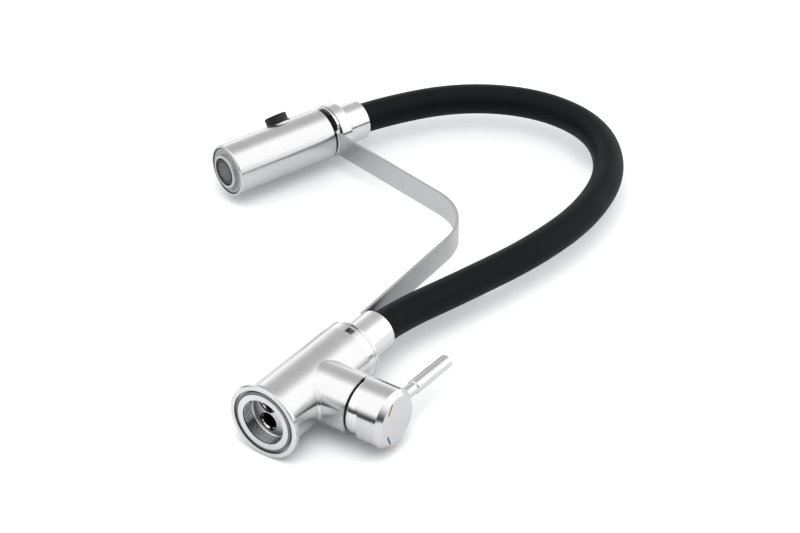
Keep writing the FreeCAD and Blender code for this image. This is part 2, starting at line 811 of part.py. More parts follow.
def hose_nipple():
    """Barb of the water hose, a flange in the ferrule, and the shank the head swivels on."""
    flange_top = nipple_flange_from + tail_t
    nipple = turned([(0, nipple_tip), (nipple_tip_r, nipple_tip), (nipple_tip_r, collar_from),
                     (nipple_shank_r, collar_from), (nipple_shank_r, nipple_flange_from + RUN),
                     (hose_r + FREE - SLIP, nipple_flange_from + RUN), (hose_r + FREE - SLIP, flange_top),
                     (barb_r, flange_top), (barb_r, flange_top + barb_length),
                     (0, flange_top + barb_length)])
    nipple = nipple.cut(rod(barb_bore_r, nipple_tip - 1, flange_top + barb_length + 1))
    nipple = nipple.cut(pipe(nipple_tip_r + 1, nipple_groove_r(), nipple_seal_z() - seal_section_r - RUN,
                             nipple_seal_z() + seal_section_r + RUN))
    return on_head(nipple.cut(pipe(nipple_tip_r + 1, nipple_tip_r - 0.9, nipple_clip_z(),
                                   nipple_clip_z() + clip_t + SLIP)))


def nipple_groove_r():
    return nipple_tip_r - 2 * seal_section_r


def nipple_seal_z():
    return head_length - rear_inset - rear_cap_t / 2 + 4.0


def nipple_clip_z():
    return head_length - rear_inset - rear_cap_t - SLIP - clip_t - SLIP


def nipple_seal():
    radius = nipple_tip_r + SLIP - RUN - seal_section_r
    return on_head(ring_seal(radius, seal_section_r, nipple_seal_z()))


def head_clip():
    """Spring ring that keeps the head on the nipple."""
    low = nipple_clip_z() + RUN
    clip = pipe(nipple_tip_r + 1.3, nipple_tip_r - 0.9 + RUN, low, low + clip_t)
    opening = block(0, 2 * nipple_tip_r, -clip_opening / 2, clip_opening / 2, low - 1, low + clip_t + 1)
    return on_head(clip.cut(opening))


# Spray head
head_bore_r = head_r - head_wall


def knob_axis(shape):
    """Place a piece that was built along Z, from the head's axis out, on the knob's axis."""
    placed = shape.copy()
    placed.rotate(Vector(0, 0, 0), X_AXIS, 90)
    placed.rotate(Vector(0, 0, 0), Z_AXIS, knob_angle_deg)
    placed.translate(Vector(0, 0, knob_from_face))
    return placed


def head_shell():
    """Steel tube with a round seat, sunk in its side, for the diverter knob."""
    tube = pipe(head_r, head_bore_r, 0, head_length)
    tube = tube.makeChamfer(head_edge, round_edges_at(tube, radius=head_r))
    boss = knob_axis(rod(knob_boss_r, guide_block_r + FREE, knob_seat))
    recess = knob_axis(rod(knob_boss_r, knob_seat, head_r + 1))
    shell = tube.fuse(boss).removeSplitter().cut(recess)
    return on_head(shell.cut(knob_axis(rod(spindle_r + RUN, 0, knob_seat + 1))))


def rear_cap():
    """Closes the head's rear and carries the neck that sits in the dock."""
    top = head_length - rear_inset
    cap = rod(head_bore_r - RUN, top - rear_cap_t, top)
    cap = cap.fuse(rod(neck_r, top, neck_top)).removeSplitter()
    return on_head(cap.cut(rod(nipple_tip_r + SLIP, top - rear_cap_t - 1, neck_top + 1)))


def water_guide():
    """Plastic core that carries the water from the nipple to the diverter and the face."""
    disc_low = plate_inset + plate_t
    disc_top = disc_low + guide_disc_t
    neck_end = head_length - rear_inset - rear_cap_t - SLIP
    disc_r = head_bore_r - RUN
    core = turned([(0, disc_low), (disc_r, disc_low), (disc_r, disc_top), (guide_tube_r, disc_top),
                   (guide_tube_r, guide_block_from), (guide_block_r, guide_block_from),
                   (guide_block_r, guide_block_to), (guide_neck_r + 1.5, guide_block_to),
                   (guide_neck_r + 1.5, neck_end), (0, neck_end)])
    core = core.cut(rod(aerator_r + SLIP, disc_low - 1, aerator_depth - aerator_proud + SLIP))
    core = core.cut(rod(guide_tube_r - 2.0, disc_low, guide_block_from - 4.0))
    core = core.cut(rod(barb_r, guide_block_from - 5.0, guide_block_to + 1))
    core = core.cut(rod(guide_neck_r, guide_block_to, neck_end + 1))
    return on_head(core.cut(knob_axis(rod(spindle_r + RUN, spindle_foot - FREE, guide_block_r + 1))))


def nozzle_plate():
    """Grey plate with a ring of jets around the aerator."""
    low = plate_inset
    plate = pipe(plate_r, aerator_r + SLIP, low, low + plate_t)
    for i in range(jet_count):
        angle = 2 * math.pi * i / jet_count
        plate = plate.cut(rod(jet_r, low - 1, low + plate_t + 1, jet_circle_r * math.cos(angle),
                              jet_circle_r * math.sin(angle)))
    return on_head(plate)


def aerator_ring():
    low = -aerator_proud
    ring = pipe(aerator_r, aerator_r - aerator_wall, low, low + aerator_depth)
    return on_head(ring.makeFillet(0.5, round_edges_at(ring, z=low, radius=aerator_r)))


def aerator_mesh():
    """Dark insert with parallel slats."""
    low = mesh_inset - aerator_proud
    radius = aerator_r - aerator_wall - RUN
    mesh = rod(radius, low, low + mesh_t)
    pitch = 2 * radius / slat_count
    inside = rod(radius - 0.8, low - 1, low + mesh_t + 1)
    for i in range(slat_count):
        y = -radius + (i + 0.5) * pitch
        gap = block(-radius, radius, y - pitch * slat_gap_share / 2, y + pitch * slat_gap_share / 2,
                    low - 1, low + mesh_t * 0.6)
        gap.rotate(Vector(0, 0, 0), Z_AXIS, slat_turn_deg)
        mesh = mesh.cut(gap.common(inside))
    return on_head(mesh)


# Diverter
def diverter_spindle():
    """Round spindle from inside the guide up into the knob."""
    spindle = rod(spindle_r, spindle_foot, knob_seat + knob_socket_depth)
    reach = spindle_section_r + RUN
    groove = pipe(spindle_r + 1, spindle_r - 2 * reach,
                  diverter_seal_z() - reach, diverter_seal_z() + reach)
    return on_head(knob_axis(spindle.cut(groove)))


def diverter_seal_z():
    return (spindle_foot + guide_block_r) / 2


def diverter_seal():
    radius = spindle_r - RUN - spindle_section_r
    return on_head(knob_axis(ring_seal(radius, spindle_section_r, diverter_seal_z())))


def knob_skirt():
    """Flared foot of the knob, on the boss."""
    low = knob_seat + SLIP
    skirt = turned([(spindle_r + RUN, low), (knob_skirt_r, low), (knob_skirt_r, low + knob_skirt_t * 0.6),
                    (knob_r, low + knob_skirt_t), (spindle_r + RUN, low + knob_skirt_t)])
    return on_head(knob_axis(skirt))


def diverter_knob():
    """Short knob with flutes around its rim."""
    low = knob_seat + SLIP + knob_skirt_t
    knob = rod(knob_r, low, knob_top)
    knob = knob.makeFillet(0.6, round_edges_at(knob, z=knob_top))
    for i in range(knob_flutes):
        angle = 2 * math.pi * i / knob_flutes
        radius = knob_r + flute_r * 0.5
        knob = knob.cut(rod(flute_r, low - 1, knob_top + 1, radius * math.cos(angle),
                            radius * math.sin(angle)))
    return on_head(knob_axis(knob.cut(rod(spindle_r + RUN, low - 1, knob_seat + knob_socket_depth + SLIP))))


# Output
PIECES = {
    "body_shell": body_shell,
    "base_seal": base_seal,
    "water_block": water_block,
    "check_valve_hot": lambda: check_valve(-1),
    "check_valve_cold": lambda: check_valve(1),
    "cartridge_gasket": cartridge_gasket,
    "fixed_disc": fixed_disc,
    "cartridge_casing": cartridge_casing,
    "cartridge_nut": cartridge_nut,
    "dome_sleeve": dome_sleeve,
    "moving_disc": moving_disc,
    "disc_carrier": disc_carrier,
    "rotor": rotor,
    "pivot_pin": pivot_pin,
    "lever_stem": lever_stem,
    "handle_cap": handle_cap,
    "lever_pin": lever_pin,
    "hot_mark": lambda: clocked(mark_bar(-1)),
    "cold_mark": lambda: clocked(mark_bar(1)),
    "top_plug": top_plug,
    "swivel_seal_lower": lambda: swivel_seal(seal_heights()[0]),
    "swivel_seal_upper": lambda: swivel_seal(seal_heights()[1]),
    "swivel_bush": swivel_bush,
    "retaining_clip": retaining_clip,
    "swivel_ring": swivel_ring,
    "lower_ferrule": lower_ferrule,
    "hose_tail": hose_tail,
    "hose_sleeve": hose_sleeve,
    "support_spring": support_spring,
    "water_hose": water_hose,
    "arm_strip": arm_strip,
    "upper_ferrule": upper_ferrule,
    "hose_collar": hose_collar,
    "hose_nipple": hose_nipple,
    "nipple_seal": nipple_seal,
    "head_clip": head_clip,
    "head_shell": head_shell,
    "rear_cap": rear_cap,
    "water_guide": water_guide,
    "nozzle_plate": nozzle_plate,
    "aerator_ring": aerator_ring,
    "aerator_mesh": aerator_mesh,
    "diverter_spindle": diverter_spindle,
    "diverter_seal": diverter_seal,
    "knob_skirt": knob_skirt,
    "diverter_knob": diverter_knob,
}

os.makedirs("parts", exist_ok=True)
for name, make in PIECES.items():
    shape = make()
    solids = shape.Solids
    if len(solids) != 1 or not shape.isValid():
        print("look at", name, "solids", len(solids), "valid", shape.isValid())
    (solids[0] if len(solids) == 1 else shape).exportStep(f"parts/{name}.step")

radii = [round(bend[4], 1) for bend in bends(hose_points(), share=hose_bend_share)]
route = path_wire(hose_points(), hose_bend_share)
section = math.pi * (hose_r ** 2 - hose_bore_r ** 2)
print("hose length", round(route.Length, 1), "bend radii", radii)
print("hose volume over section times length", round(hose_sleeve().Volume / section / route.Length, 5))
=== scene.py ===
import math

import bpy
from mathutils import Matrix, Vector


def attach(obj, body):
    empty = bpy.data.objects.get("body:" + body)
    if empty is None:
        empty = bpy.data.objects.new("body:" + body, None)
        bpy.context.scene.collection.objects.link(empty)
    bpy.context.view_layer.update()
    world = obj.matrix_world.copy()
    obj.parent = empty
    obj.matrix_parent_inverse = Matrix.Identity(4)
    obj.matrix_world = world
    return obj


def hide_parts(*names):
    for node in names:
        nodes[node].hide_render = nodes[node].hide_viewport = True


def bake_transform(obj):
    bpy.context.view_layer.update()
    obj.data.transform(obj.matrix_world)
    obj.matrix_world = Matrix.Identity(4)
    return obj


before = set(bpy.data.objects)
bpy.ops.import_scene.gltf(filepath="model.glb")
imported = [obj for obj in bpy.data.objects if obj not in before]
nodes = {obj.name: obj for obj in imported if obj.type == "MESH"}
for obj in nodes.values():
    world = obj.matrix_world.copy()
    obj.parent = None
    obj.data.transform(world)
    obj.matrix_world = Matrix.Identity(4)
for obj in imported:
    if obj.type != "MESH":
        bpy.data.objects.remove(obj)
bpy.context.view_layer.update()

scene = bpy.context.scene
scene.view_settings.view_transform = "Standard"


# The photographer's place: above the tap, which lies on its side, so the picture's up is
# partly -Y of the standing tap. Places and lengths are in metres, the lens in millimetres.
eye = Vector((0.8850, -1.0651, -1.0975))
looks_along = Vector((-0.4800, 0.5581, 0.6768))
picture_up = Vector((-0.3210, -0.8297, 0.4566))
lens_mm = 125.4
sensor_mm = 36.0
sees_to = 20.0

backward = -looks_along.normalized()
rightward = picture_up.cross(backward).normalized()
camera_data = bpy.data.cameras.new("camera")
camera_data.lens = lens_mm
camera_data.sensor_width = sensor_mm
camera_data.clip_end = sees_to
camera = bpy.data.objects.new("camera", camera_data)
camera_turn = Matrix((rightward, backward.cross(rightward), backward)).transposed()
camera.matrix_world = Matrix.Translation(eye) @ camera_turn.to_4x4()
scene.collection.objects.link(camera)
scene.camera = camera


# The ground is plain white board, which the lying tap touches with its base flange. It shows from
# its front only. The camera sees it lighter than the metal does, white but for the close shadows.
# Between hose and arm it is clear, so that the hose's bow shows when the spout is turned.
table_y = 0.0265
table_half = 3.0
table_colour = (0.86, 0.865, 0.875)
pure_white = (1.0, 1.0, 1.0, 1.0)
camera_gain = 1.60           # how much lighter the camera sees it
second_hand_gain = 0.30      # how much of it lights the tap
mirror_lift = 0.02           # what it adds in the metal's reflections
gap_x = (-0.034, 0.012)      # the clear place and its soft edges
gap_z = (0.255, 0.395)
gap_soft = (0.010, 0.030)


def add(tree, kind, inputs=None, **settings):
    """A new shader or geometry node with its settings and inputs; an input may be an output socket."""
    made = tree.nodes.new(kind)
    for key, value in settings.items():
        setattr(made, key, value)
    for key, value in (inputs or {}).items():
        if isinstance(value, bpy.types.NodeSocket):
            tree.links.new(value, made.inputs[key])
        else:
            made.inputs[key].default_value = value
    return made


def new_tree(name):
    """An empty material, its node tree and its output node."""
    material = bpy.data.materials.new(name)
    material.use_nodes = True
    tree = material.node_tree
    tree.nodes.clear()
    return material, tree, add(tree, "ShaderNodeOutputMaterial")


def ramp(tree, value, low, high, from_value=0.0, to_value=1.0):
    """Smooth step of a value between two limits."""
    return add(tree, "ShaderNodeMapRange", {0: value, 1: low, 2: high, 3: from_value, 4: to_value},
               interpolation_type="SMOOTHSTEP").outputs[0]


def worked(tree, operation, *values):
    """The result of one Math node."""
    return add(tree, "ShaderNodeMath", dict(enumerate(values)), operation=operation).outputs[0]


def times(tree, first, second):
    """The product of two values."""
    return worked(tree, "MULTIPLY", first, second)


def mixed(tree, share, first, second):
    """A number between two others, by the share of the second."""
    return add(tree, "ShaderNodeMix", {0: share, 2: first, 3: second}, data_type="FLOAT").outputs[0]


def scaled(tree, vector, factor):
    """A vector made longer or shorter."""
    return add(tree, "ShaderNodeVectorMath", {0: vector, "Scale": factor}, operation="SCALE").outputs[0]


def met_matt(tree, path):
    """1 for light that has met a matt surface on its way."""
    return worked(tree, "GREATER_THAN", path["Diffuse Depth"], 0.5)


def plateau(tree, value, limits, soft):
    """1 between two limits, with soft edges outside them."""
    return times(tree, ramp(tree, value, limits[0] - soft, limits[0]),
                 ramp(tree, value, limits[1], limits[1] + soft, 1.0, 0.0))


table_material, tree, output = new_tree("table")
path = add(tree, "ShaderNodeLightPath").outputs
gain = mixed(tree, path["Is Camera Ray"], 1.0, camera_gain)
gain = mixed(tree, met_matt(tree, path), gain, second_hand_gain)
paper = add(tree, "ShaderNodeBsdfDiffuse", {"Color": scaled(tree, table_colour, gain)})
mirrored = worked(tree, "MAXIMUM", path["Is Glossy Ray"], path["Is Transmission Ray"])
glow = add(tree, "ShaderNodeEmission", {"Color": pure_white,
                                        "Strength": times(tree, mirrored, mirror_lift)})
front = add(tree, "ShaderNodeAddShader", {0: paper.outputs[0], 1: glow.outputs[0]})
clear = add(tree, "ShaderNodeBsdfTransparent")
at = add(tree, "ShaderNodeSeparateXYZ", {0: add(tree, "ShaderNodeTexCoord").outputs["Object"]}).outputs
gap = times(tree, plateau(tree, at["X"], gap_x, gap_soft[0]), plateau(tree, at["Z"], gap_z, gap_soft[1]))
gap = times(tree, gap, path["Is Camera Ray"])
hidden = worked(tree, "MAXIMUM", add(tree, "ShaderNodeNewGeometry").outputs["Backfacing"], gap)
one_sided = add(tree, "ShaderNodeMixShader", {0: hidden, 1: front.outputs[0], 2: clear.outputs[0]})
tree.links.new(one_sided.outputs[0], output.inputs["Surface"])

table_mesh = bpy.data.meshes.new("table")
corners = [(-1, -1), (1, -1), (1, 1), (-1, 1)]
table_mesh.from_pydata([(x * table_half, table_y, z * table_half) for x, z in corners], [], [(0, 1, 2, 3)])
table_mesh.materials.append(table_material)
table = bpy.data.objects.new("table", table_mesh)
scene.collection.objects.link(table)


# The light: an even white room and one wide soft lamp over the lying tap. Metal mirrors a studio
# of soft white walls with a few grey places and a dark horizon on the camera's side.
room_light = 0.76
studio_light = 1.25
thrown_light = 0.0           # what the metal throws on to the table
# direction, cosines at which it begins and is full, depth
grey_places = [((-0.36, -0.68, 0.64), 0.75, 1.00, 0.72),
               ((0.62, -0.35, -0.70), 0.66, 0.96, 0.55),
               ((-0.95, -0.25, -0.18), 0.80, 0.98, 0.45)]
horizon_dark = 0.15          # up to here over the table the walls are dark
horizon_clear = 0.50         # and from here they are light
horizon_light = 0.05         # what is left of their light below
far_limits = (-0.25, 0.35)   # heights between which the dark horizon fades out
lamp_power = 8.0
lamp_size = 1.3
lamp_place = Vector((0.42, -1.30, -0.32))
lamp_aim = Vector((-0.06, 0.0, 0.20))

world = bpy.data.worlds.new("studio")
world.use_nodes = True
world.cycles.sampling_method = "NONE"
scene.world = world
tree = world.node_tree
tree.nodes.clear()

direction = add(tree, "ShaderNodeTexCoord").outputs["Generated"]
studio = studio_light
for place, wide, close, depth in grey_places:
    toward = add(tree, "ShaderNodeVectorMath", {0: direction, 1: Vector(place).normalized()},
                 operation="DOT_PRODUCT").outputs["Value"]
    studio = worked(tree, "SUBTRACT", studio, ramp(tree, toward, wide, close, 0.0, depth))
height = add(tree, "ShaderNodeSeparateXYZ", {0: direction}).outputs
above_table = times(tree, height["Y"], -1.0)
lit = ramp(tree, above_table, horizon_dark, horizon_clear, horizon_light, 1.0)
lit = mixed(tree, ramp(tree, height["Z"], *far_limits), lit, 1.0)
path = add(tree, "ShaderNodeLightPath").outputs
studio = mixed(tree, met_matt(tree, path), times(tree, studio, lit), thrown_light)
strength = mixed(tree, path["Is Glossy Ray"], room_light, studio)
strength = mixed(tree, path["Is Camera Ray"], strength, 1.0)
background = add(tree, "ShaderNodeBackground", {"Color": pure_white, "Strength": strength})
tree.links.new(background.outputs[0], add(tree, "ShaderNodeOutputWorld").inputs["Surface"])

lamp_data = bpy.data.lights.new("soft_lamp", "AREA")
lamp_data.shape = "DISK"
lamp_data.size = lamp_size
lamp_data.energy = lamp_power
lamp = bpy.data.objects.new("soft_lamp", lamp_data)
lamp.location = lamp_place
lamp.rotation_mode = "QUATERNION"
lamp.rotation_quaternion = (lamp_aim - lamp_place).to_track_quat("-Z", "Y")
lamp.visible_glossy = False
scene.collection.objects.link(lamp)


# Body: one welded and turned stainless tube with its base flange and the cartridge branch,
# brushed round each tube's own axis after welding, with a fine satin grain. Painted shade lies in
# its seal groove, bore and thread grooves, and a painted highlight on the thread's crests.
branch_axis_z = 0.0502
body_reach = 0.0226          # outside this radius, and above the flange, is the branch
flange_top = 0.0050
origin = (0, 0, 0)
upright = (0, 0, 0)
branch_turn = (0, math.pi / 2, 0)
branch_place = (0, 0, branch_axis_z)
steel_colour = (0.80, 0.80, 0.80, 1.0)
steel_rough = 0.19
steel_stretch = 0.88
land_white = (0.93, 0.93, 0.93)
# painted highlight, painted groove shade and painted deep shade, for the zones below
painted_crest_highlight = (0.90, 0.90, 0.90)
painted_groove_shade = (0.50, 0.50, 0.51)
painted_deep_shade = (0.012, 0.012, 0.013)
black_rough = 0.45
# each zone: radius from and to, height from and to, colour, roughness
foot_zones = [(0.0, 0.0264, -0.0001, 0.00015, land_white, 0.34),         # the flange's flat face
              (0.01995, 0.0232, 0.0002, 0.0030, painted_groove_shade, 0.30),      # painted shade in the seal's groove
              (0.0150, 0.01745, 0.0003, 0.0100, painted_crest_highlight, 0.22),      # painted highlight on the thread's crests
              (0.0, 0.0174, 0.0101, 0.0840, painted_deep_shade, black_rough)]    # painted shade in the bore over the water block
thread_turns = 7
thread_pitch = 0.00125
thread_shade = (0.45, 1.32)  # the shaded part of each turn, in pitches
# painted shade in each thread groove
painted_thread_shade = [(0.0150, 0.01745, thread_pitch * (crest + thread_shade[0]),
                 thread_pitch * (crest + thread_shade[1]), painted_deep_shade, black_rough)
                for crest in range(thread_turns)]
grain_scale = (35.0, 35.0, 3200.0)
grain_rough = 0.65
grain_limits = (0.25, 0.75)
noise_detail = 3.0
smear_scale = 45.0
smear_share = 0.35
smear_limits = (0.3, 0.7)
zone_soft = 0.00006          # half the width of a zone's edge


def own_axis(tree, place=origin, turn=upright):
    """Object coordinates turned so that the piece's axis is Z."""
    coords = add(tree, "ShaderNodeTexCoord").outputs["Object"]
    return add(tree, "ShaderNodeMapping", {"Vector": coords, "Location": place, "Rotation": turn},
               vector_type="TEXTURE").outputs[0]


def grain_of(tree, local, scale=grain_scale):
    """Brush lines: noise drawn out round the piece, changing quickly along its axis."""
    drawn = add(tree, "ShaderNodeMapping", {"Vector": local, "Scale": scale}).outputs[0]
    return add(tree, "ShaderNodeTexNoise", {"Vector": drawn, "Scale": 1.0, "Detail": noise_detail,
                                            "Roughness": grain_rough}).outputs["Fac"]


def along_surface(tree, local, turn=upright):
    """The direction across the brush lines, in which reflections are drawn out."""
    parts = add(tree, "ShaderNodeSeparateXYZ", {0: local}).outputs
    ring = add(tree, "ShaderNodeCombineXYZ", {0: times(tree, parts["Y"], -1.0), 1: parts["X"]}).outputs[0]
    ring = add(tree, "ShaderNodeVectorRotate", {"Vector": ring, "Rotation": turn},
               rotation_type="EULER_XYZ").outputs[0]
    ring = add(tree, "ShaderNodeVectorTransform", {0: ring}, vector_type="VECTOR",
               convert_from="OBJECT", convert_to="WORLD").outputs[0]
    normal = add(tree, "ShaderNodeNewGeometry").outputs["Normal"]
    return add(tree, "ShaderNodeVectorMath", {0: normal, 1: ring}, operation="CROSS_PRODUCT").outputs[0]


def shaded(tree, grain, colour, rough, spread=0.08, tint=0.05, smear=0.03, lines=0.12,
           line_depth=0.00001, metal=1.0):
    """Surface shader whose colour and roughness follow the grain and faint wide smears."""
    coords = add(tree, "ShaderNodeTexCoord").outputs["Object"]
    wide = add(tree, "ShaderNodeTexNoise", {"Vector": coords, "Scale": smear_scale,
                                            "Detail": noise_detail}).outputs["Fac"]
    both = ramp(tree, mixed(tree, smear_share, grain, wide), *smear_limits)
    dark = [part * (1 - tint) for part in colour[:3]] + [1.0]
    light = [min(1.0, part * (1 + tint / 2)) for part in colour[:3]] + [1.0]
    paint = add(tree, "ShaderNodeMix", {0: both, 6: dark, 7: light}, data_type="RGBA")
    fine = ramp(tree, grain, *grain_limits, rough - spread / 2, rough + spread / 2)
    smeared = ramp(tree, wide, *smear_limits, -smear / 2, smear / 2)
    bump = add(tree, "ShaderNodeBump", {"Strength": lines, "Distance": line_depth, "Height": grain})
    return add(tree, "ShaderNodeBsdfPrincipled", {"Base Color": paint.outputs[2], "Metallic": metal,
                                                  "Roughness": worked(tree, "ADD", fine, smeared),
                                                  "Normal": bump.outputs[0]})


def between(tree, value, low, high):
    """1 where a value lies between two limits, with the zones' soft edge."""
    return plateau(tree, value, (low + zone_soft, high - zone_soft), 2 * zone_soft)


def radius_of(tree, parts):
    """The distance from the axis, from the parts of a place."""
    flat = add(tree, "ShaderNodeCombineXYZ", {0: parts["X"], 1: parts["Y"]}).outputs[0]
    return add(tree, "ShaderNodeVectorMath", {0: flat}, operation="LENGTH").outputs["Value"]


def zoned(tree, surface, local, zones):
    """Another colour and roughness in each zone round the piece's axis."""
    parts = add(tree, "ShaderNodeSeparateXYZ", {0: local}).outputs
    radius = radius_of(tree, parts)
    for inner, outer, low, high, colour, rough in zones:
        mask = times(tree, between(tree, radius, inner, outer), between(tree, parts["Z"], low, high))
        old_colour = surface.inputs["Base Color"].links[0].from_socket
        old_rough = surface.inputs["Roughness"].links[0].from_socket
        new_colour = add(tree, "ShaderNodeMix", {0: mask, 6: old_colour, 7: (*colour, 1.0)},
                         data_type="RGBA").outputs[2]
        tree.links.new(new_colour, surface.inputs["Base Color"])
        tree.links.new(mixed(tree, mask, old_rough, rough), surface.inputs["Roughness"])


def brushed(name, place=origin, turn=upright, colour=steel_colour, rough=steel_rough,
            stretch=steel_stretch, zones=(), **more):
    """Stainless steel brushed round one axis."""
    material, tree, output = new_tree(name)
    local = own_axis(tree, place, turn)
    surface = shaded(tree, grain_of(tree, local), colour, rough, **more)
    zoned(tree, surface, local, zones)
    surface.inputs["Anisotropic"].default_value = stretch
    tree.links.new(along_surface(tree, local, turn), surface.inputs["Tangent"])
    tree.links.new(surface.outputs[0], output.inputs["Surface"])
    return material


def dress(material, *names):
    """Give CAD nodes their finish."""
    for name in names:
        for slot in nodes[name].material_slots:
            slot.material = material


def body_steel():
    """Brushed round the tube, and on the branch round the branch."""
    material, tree, output = new_tree("body_steel")
    coords = add(tree, "ShaderNodeTexCoord").outputs["Object"]
    parts = add(tree, "ShaderNodeSeparateXYZ", {0: coords}).outputs
    on_branch = times(tree, worked(tree, "GREATER_THAN", radius_of(tree, parts), body_reach),
                      worked(tree, "GREATER_THAN", parts["Z"], flange_top))
    sideways = own_axis(tree, branch_place, branch_turn)
    local = add(tree, "ShaderNodeMix", {0: on_branch, 4: coords, 5: sideways},
                data_type="VECTOR").outputs[1]
    surface = shaded(tree, grain_of(tree, local), steel_colour, steel_rough)
    round_body = along_surface(tree, coords)
    round_branch = along_surface(tree, sideways, branch_turn)
    tangent = add(tree, "ShaderNodeMix", {0: on_branch, 4: round_body, 5: round_branch},
                  data_type="VECTOR").outputs[1]
    surface.inputs["Anisotropic"].default_value = steel_stretch
    # painted shade and painted highlights in the foot's zones and thread grooves
    zoned(tree, surface, coords, foot_zones + painted_thread_shade)
    tree.links.new(tangent, surface.inputs["Tangent"])
    tree.links.new(surface.outputs[0], output.inputs["Surface"])
    return material


dress(body_steel(), "body_shell")


# Base seal: a moulded grey ring pressed into the groove under the flange. The water block is
# plated brass, seen through the threaded foot, with grey plastic check valves in its ports, which
# carry painted shade in their depth and a painted highlight ring.
rubber_colour = (0.020, 0.020, 0.022, 1.0)
seal_grey = (0.29, 0.29, 0.30, 1.0)
plated_colour = (0.80, 0.80, 0.81, 1.0)
valve_colour = (0.62, 0.62, 0.62, 1.0)
port_zones = [(0.0, 0.0180, 0.00990, 0.01006, land_white, 0.45),         # the block's flat face
              (0.0, 0.0180, 0.01014, 0.0730, painted_deep_shade, 0.40),          # painted shade in the ports' depth
              (0.0, 0.0180, 0.01085, 0.0117, painted_crest_highlight, 0.14)]         # a painted highlight ring in each port
cell_scale = 2500.0


def plain(name, colour, rough, depth=0.00001, metal=0.0, tint=0.08, place=origin, turn=upright,
          zones=(), **sockets):
    """Moulded or cast surface with an even fine texture."""
    material, tree, output = new_tree(name)
    coords = add(tree, "ShaderNodeTexCoord").outputs["Object"]
    cell = add(tree, "ShaderNodeTexNoise", {"Vector": coords, "Scale": cell_scale,
                                            "Detail": 2.0}).outputs["Fac"]
    surface = shaded(tree, cell, colour, rough, tint=tint, line_depth=depth, metal=metal)
    if zones:
        zoned(tree, surface, own_axis(tree, place, turn), zones)
    for key, value in sockets.items():
        surface.inputs[key.replace("_", " ")].default_value = value
    tree.links.new(surface.outputs[0], output.inputs["Surface"])
    return material


seal_rubber = plain("seal_rubber", rubber_colour, 0.55)
plated = plain("plated_brass", plated_colour, 0.30, metal=1.0, zones=port_zones)
valve_plastic = plain("valve_plastic", valve_colour, 0.40, depth=0.000005)
dress(plain("base_seal_rubber", seal_grey, 0.5), "base_seal")
dress(seal_rubber, "cartridge_gasket", "swivel_seal_lower", "swivel_seal_upper",
      "nipple_seal", "diverter_seal")
dress(plated, "water_block", "top_plug", "hose_tail", "hose_nipple")
dress(valve_plastic, "check_valve_hot", "check_valve_cold")


# Cartridge: ground ceramic discs in a plastic casing under a brass nut, with a steel stem and
# pin. The polished dome on the nut's nose closes the gap behind the handle cap, and a band of
# painted shade on it stands for that gap.
brass_colour = (0.70, 0.55, 0.30, 1.0)
ceramic_colour = (0.86, 0.85, 0.82, 1.0)
casing_colour = (0.80, 0.79, 0.74, 1.0)
drawn_colour = (0.62, 0.62, 0.62, 1.0)
polished_colour = (0.91, 0.91, 0.91, 1.0)

dress(plain("brass", brass_colour, 0.28, metal=1.0), "cartridge_nut", "diverter_spindle")
dress(plain("ceramic", ceramic_colour, 0.18, depth=0.000003, tint=0.03), "fixed_disc", "moving_disc")
dress(plain("casing_plastic", casing_colour, 0.42), "cartridge_casing", "rotor", "disc_carrier",
      "swivel_bush")
dress(plain("drawn_steel", drawn_colour, 0.26, metal=1.0), "retaining_clip", "head_clip", "pivot_pin",
      "lever_stem")
dome_stretch = 0.2
painted_gap_shade = [(0.0, 0.0200, 0.0380, 0.0414, painted_deep_shade, 0.40)]             # painted shade in the gap behind the cap
dress(brushed("dome_steel", branch_place, branch_turn, polished_colour, 0.11, dome_stretch, lines=0.08,
              zones=painted_gap_shade), "dome_sleeve")


# Handle: a turned steel cap with a wide chamfer, a flat face with two enamelled bars, and a
# screwed-in lever of two diameters with a domed tip.
lever_x = 0.0556
enamel_red = (0.52, 0.035, 0.03, 1.0)
enamel_blue = (0.02, 0.16, 0.55, 1.0)
enamel_depth = 0.000004
dress(brushed("cap_steel", branch_place, branch_turn), "handle_cap")
dress(brushed("lever_steel", (lever_x, 0, branch_axis_z), rough=0.14), "lever_pin")
dress(plain("red_enamel", enamel_red, 0.30, depth=enamel_depth), "hot_mark")
dress(plain("blue_enamel", enamel_blue, 0.30, depth=enamel_depth), "cold_mark")


# Swivel ring and lower ferrule: turned steel, a little brighter than the body, stacked on the
# body's top. The ferrule holds the hose and the foot of the arm.
# painted shade for the ring's inside, seen through its window, and for the slit over it
painted_inside_shade = (0.55, 0.55, 0.56)
turned_rough = 0.17
ring_painted_shade = [(0.0, 0.0213, 0.0850, 0.0951, painted_inside_shade, 0.45),         # painted shade on the inside, seen in the window
               (0.0213, 0.02160, 0.0924, 0.0934, painted_deep_shade, 0.45)]      # painted shade in the slit over the window
ring_steel = brushed("ring_steel", colour=polished_colour, rough=turned_rough, zones=ring_painted_shade)
dress(ring_steel, "swivel_ring", "lower_ferrule")


# Head end: collar, upper ferrule and the head's own rear cap, brushed round the head's axis,
# which leans back towards the body. The head is a straight brushed tube.
head_place = (-0.2046, 0, 0.2231)
head_lean = (0, math.radians(17.2), 0)
shade_grey = (0.16, 0.16, 0.165)
neck_zone = [(0.0, 0.0180, 0.0838, 0.0920, shade_grey, 0.35)]            # the cap's shaded neck
dress(brushed("head_steel", head_place, head_lean), "head_shell")
dress(brushed("rear_cap_steel", head_place, head_lean, zones=neck_zone), "rear_cap")
dress(brushed("collar_steel", head_place, head_lean, polished_colour, turned_rough), "hose_collar",
      "upper_ferrule")


# Arm: 2 mm strip steel, brushed along its length and bent flat, with its foot in the lower
# ferrule and an open fork at the other end in which the head docks.
strip_colour = (0.70, 0.70, 0.71, 1.0)
strip_rough = 0.30
strip_grain = (25.0, 1800.0, 25.0)
dock_front = (0.08885, 0.08915)
